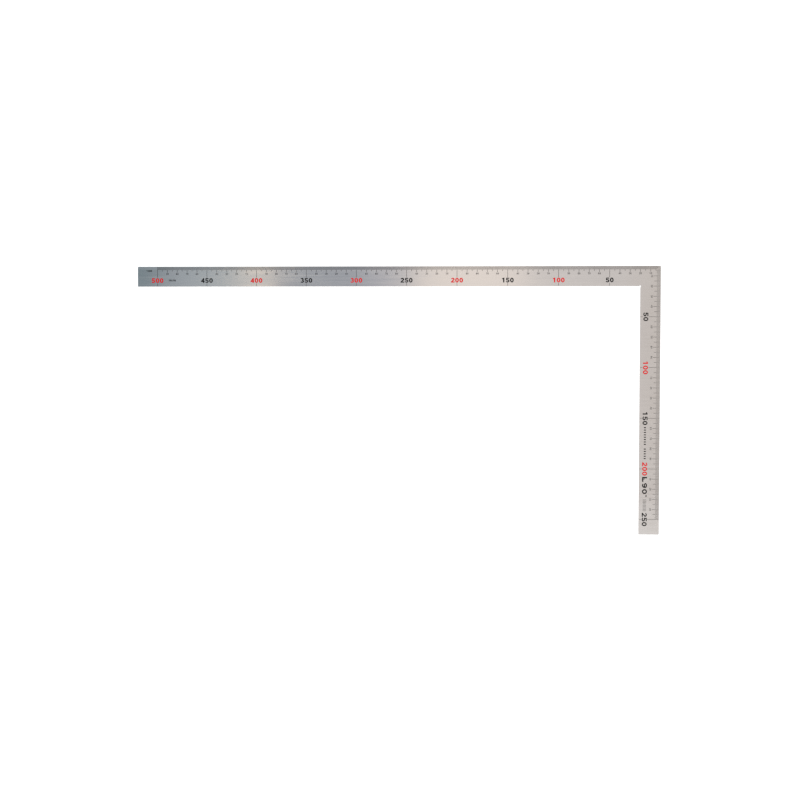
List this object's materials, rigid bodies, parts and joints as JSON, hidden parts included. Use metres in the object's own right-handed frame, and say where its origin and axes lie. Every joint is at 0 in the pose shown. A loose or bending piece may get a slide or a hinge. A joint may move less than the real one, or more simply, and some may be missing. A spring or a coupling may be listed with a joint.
{
  "type": "steel square ruler",
  "caption": "Flat L-shaped steel square ruler with etched millimetre scales on both arms, for marking out and checking right angles.",
  "frame": {"origin": "outer corner of the square, on the face that it lies on", "axes": "+Z out of the printed front face; the long arm runs along -X and the short arm along -Y; the outer long edge is on Y = 0 and the outer short edge on X = 0"},
  "size_m": [0.52, 0.265, 0.0012],
  "materials": {
    "steel": "satin stainless steel, fine grain along the long arm",
    "black_ink": "baked black etching ink, semi-matte",
    "grey_ink": "thinner black etching ink, semi-matte",
    "red_ink": "baked red etching ink, semi-matte"
  },
  "bodies": {
    "root": {"back_long_10mm_lines": "black_ink", "back_long_1mm_lines": "black_ink", "back_long_50mm_lines": "black_ink", "back_long_5mm_lines": "black_ink", "back_long_black_numerals": "black_ink", "back_long_red_numerals": "red_ink", "back_long_small_numerals": "black_ink", "back_short_10mm_lines": "grey_ink", "back_short_1mm_lines": "grey_ink", "back_short_50mm_lines": "grey_ink", "back_short_5mm_lines": "grey_ink", "back_short_black_numerals": "black_ink", "back_short_red_numerals": "red_ink", "back_short_small_numerals": "grey_ink", "blade": "steel", "front_long_10mm_lines": "black_ink", "front_long_1mm_lines": "black_ink", "front_long_50mm_lines": "black_ink", "front_long_5mm_lines": "black_ink", "front_long_black_numerals": "black_ink", "front_long_division_mark": "black_ink", "front_long_red_numerals": "red_ink", "front_long_small_numerals": "black_ink", "front_long_unit_mark": "black_ink", "front_short_10mm_lines": "grey_ink", "front_short_1mm_lines": "grey_ink", "front_short_50mm_lines": "grey_ink", "front_short_5mm_lines": "grey_ink", "front_short_black_numerals": "black_ink", "front_short_emblem": "black_ink", "front_short_red_numerals": "red_ink", "front_short_small_numerals": "grey_ink", "front_short_thick_bars": "black_ink", "front_short_thin_bars": "grey_ink"}
  },
  "joints": []
}
